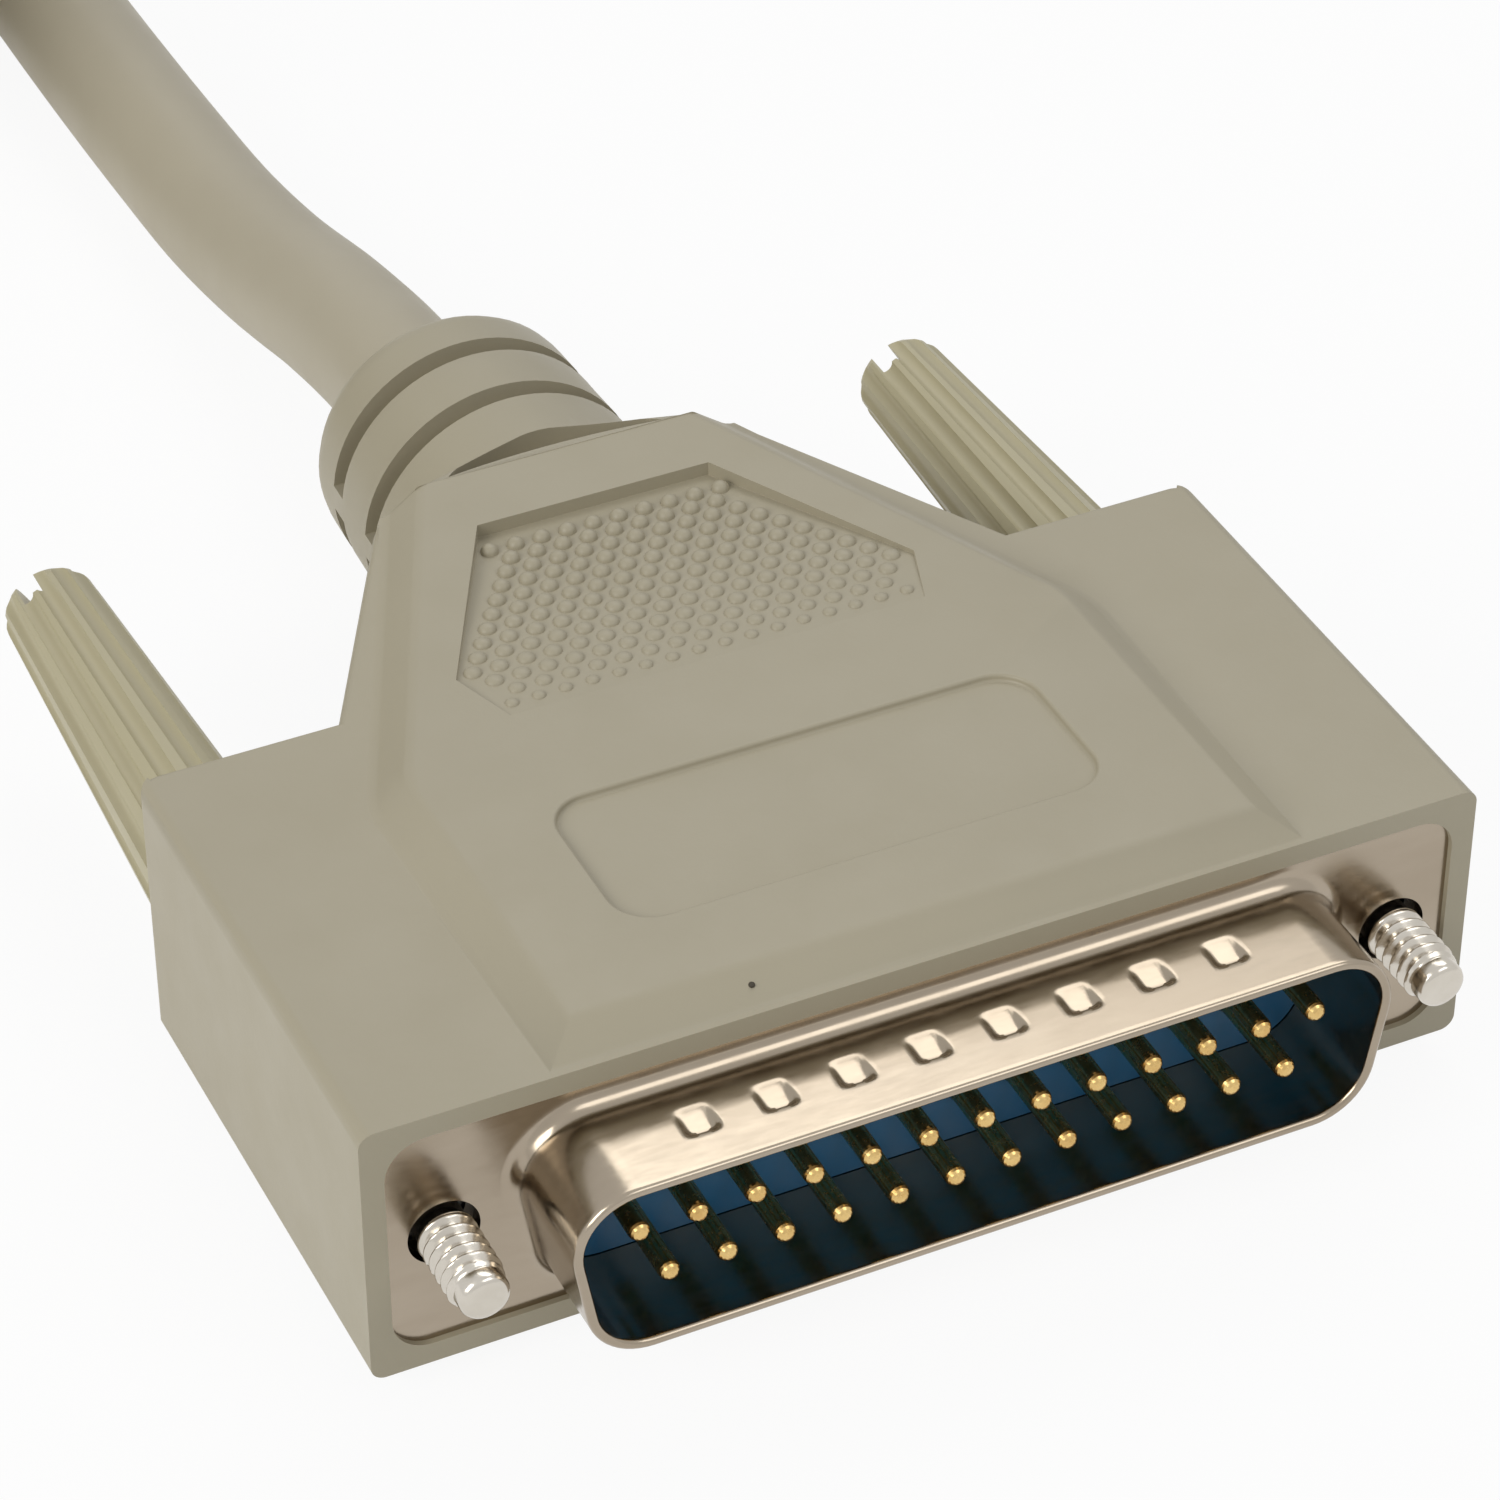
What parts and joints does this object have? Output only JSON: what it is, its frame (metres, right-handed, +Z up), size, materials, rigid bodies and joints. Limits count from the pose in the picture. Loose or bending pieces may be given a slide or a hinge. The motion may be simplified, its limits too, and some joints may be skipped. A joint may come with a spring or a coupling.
{
  "type": "d-sub connector",
  "caption": "Moulded D-sub plug with pin contacts, two captive thumbscrews and a grooved strain relief, on a round cable with a socket at its other end.",
  "frame": {"origin": "on the surface the plug lies on, under the middle of the plug (without the cable and the far socket)", "axes": "+Y from the mating face towards the cable, +X to the right seen from behind the mating face, +Z up, wide side of the D up"},
  "size_m": [0.1156, 0.1939, 0.0463],
  "materials": {
    "hood_vinyl": "satin, lightly textured",
    "shell_plate": "bright plated",
    "insulator_blue": "satin",
    "contact_gold": "gold plated",
    "conductor_sheath": "smooth",
    "inner_mould": "matte",
    "sleeve_metal": "satin",
    "screw_steel": "bright plated",
    "head_plastic": "satin",
    "clip_steel": "oiled",
    "cable_jacket": "matte",
    "tie_nylon": "matte"
  },
  "bodies": {
    "connector": {"hood": "hood_vinyl", "front_shell": "shell_plate", "rear_shell": "shell_plate", "front_insulator": "insulator_blue", "rear_insulator": "insulator_blue", "contact_01": "contact_gold", "contact_02": "contact_gold", "contact_03": "contact_gold", "contact_04": "contact_gold", "contact_05": "contact_gold", "contact_06": "contact_gold", "contact_07": "contact_gold", "contact_08": "contact_gold", "contact_09": "contact_gold", "contact_10": "contact_gold", "contact_11": "contact_gold", "contact_12": "contact_gold", "contact_13": "contact_gold", "contact_14": "contact_gold", "contact_15": "contact_gold", "contact_16": "contact_gold", "contact_17": "contact_gold", "contact_18": "contact_gold", "contact_19": "contact_gold", "contact_20": "contact_gold", "contact_21": "contact_gold", "contact_22": "contact_gold", "contact_23": "contact_gold", "contact_24": "contact_gold", "contact_25": "contact_gold", "conductors": "conductor_sheath", "inner_mould": "inner_mould", "crimp_sleeve": "sleeve_metal", "cable_run_tube": "cable_jacket", "cable_coil": "cable_jacket", "cable_tail_tube": "cable_jacket", "cable_tie": "tie_nylon", "socket_hood": "hood_vinyl", "socket_front_shell": "shell_plate", "socket_rear_shell": "shell_plate", "socket_insulator": "insulator_blue", "socket_contacts": "contact_gold", "socket_jacks": "screw_steel"},
    "left_clip": {"left_clip": "clip_steel"},
    "left_thumbscrew": {"left_screw": "screw_steel", "left_head": "head_plastic"},
    "right_clip": {"right_clip": "clip_steel"},
    "right_thumbscrew": {"right_screw": "screw_steel", "right_head": "head_plastic"}
  },
  "joints": [
    {"name": "left_draw", "type": "slide", "parent": "connector", "child": "left_clip", "axis": [0, 1, 0], "range_m": [0, 0.0045]},
    {"name": "left_turn", "type": "hinge", "parent": "left_clip", "child": "left_thumbscrew", "pos_m": [-0.02352, -0.0254, 0.0084], "axis": [0, 1, 0], "continuous": true},
    {"name": "right_draw", "type": "slide", "parent": "connector", "child": "right_clip", "axis": [0, 1, 0], "range_m": [0, 0.0045]},
    {"name": "right_turn", "type": "hinge", "parent": "right_clip", "child": "right_thumbscrew", "pos_m": [0.02352, -0.0254, 0.0084], "axis": [0, 1, 0], "continuous": true}
  ]
}
